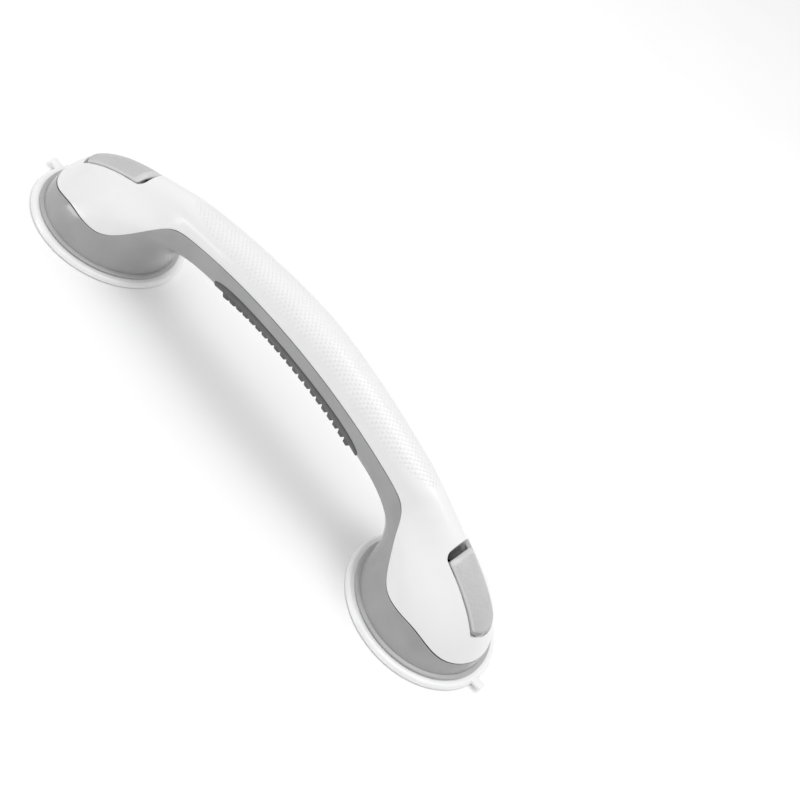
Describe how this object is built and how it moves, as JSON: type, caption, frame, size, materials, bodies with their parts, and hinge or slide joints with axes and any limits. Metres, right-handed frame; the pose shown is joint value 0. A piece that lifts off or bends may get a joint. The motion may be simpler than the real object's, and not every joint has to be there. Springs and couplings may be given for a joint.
{
  "type": "suction grab bar",
  "caption": "Arched two-tone grab bar on round suction cups, with flip levers that lock the cups and a ribbed soft grip pad on its underside.",
  "frame": {"origin": "middle of the bar on the wall plane that the suction cups' rims touch", "axes": "+X along the bar, +Y across it, +Z away from the wall"},
  "size_m": [0.4106, 0.0996, 0.083],
  "materials": {
    "white_abs": "satin white ABS, finely dimpled on top of the grip",
    "grey_abs": "glossy mid-grey ABS",
    "ring_abs": "light grey ABS",
    "lever_abs": "light grey, finely textured, with a smooth polished heel",
    "grip_rubber": "dark grey soft rubber, matt",
    "cup_rubber": "milky white soft rubber, slightly translucent, glossy",
    "stem_nylon": "natural nylon",
    "pin_steel": "ground steel",
    "screw_steel": "zinc plated steel"
  },
  "bodies": {
    "housing": {"top_cover": "white_abs", "bottom_shell": "grey_abs", "grip_pad": "grip_rubber", "bar_screw_1": "screw_steel", "bar_screw_2": "screw_steel", "bar_screw_3": "screw_steel", "bar_screw_4": "screw_steel", "suction_cup_a": "cup_rubber", "base_ring_a": "ring_abs", "base_screw_a1": "screw_steel", "base_screw_a2": "screw_steel", "base_screw_a3": "screw_steel", "base_screw_a4": "screw_steel", "suction_cup_b": "cup_rubber", "base_ring_b": "ring_abs", "base_screw_b1": "screw_steel", "base_screw_b2": "screw_steel", "base_screw_b3": "screw_steel", "base_screw_b4": "screw_steel"},
    "stem_a": {"cup_stem_a": "stem_nylon"},
    "lever_a": {"lever_a": "lever_abs", "lever_pin_a": "pin_steel"},
    "stem_b": {"cup_stem_b": "stem_nylon"},
    "lever_b": {"lever_b": "lever_abs", "lever_pin_b": "pin_steel"}
  },
  "joints": [
    {"name": "stem_slide_a", "type": "slide", "parent": "housing", "child": "stem_a", "axis": [0, 0, -1], "range_m": [0, 0.0032], "deforming": ["suction_cup_a"]},
    {"name": "lever_hinge_a", "type": "hinge", "parent": "stem_a", "child": "lever_a", "pos_m": [-0.15, 0, 0.04], "axis": [0, 1, 0], "range_deg": [0, 90]},
    {"name": "stem_slide_b", "type": "slide", "parent": "housing", "child": "stem_b", "axis": [0, 0, -1], "range_m": [0, 0.0032], "deforming": ["suction_cup_b"]},
    {"name": "lever_hinge_b", "type": "hinge", "parent": "stem_b", "child": "lever_b", "pos_m": [0.15, 0, 0.04], "axis": [0, -1, 0], "range_deg": [0, 90]}
  ],
  "couplings": [
    {"joint": "lever_hinge_a", "follows": "stem_slide_a", "rad_per_m": 490.86},
    {"joint": "lever_hinge_b", "follows": "stem_slide_b", "rad_per_m": 490.86}
  ]
}
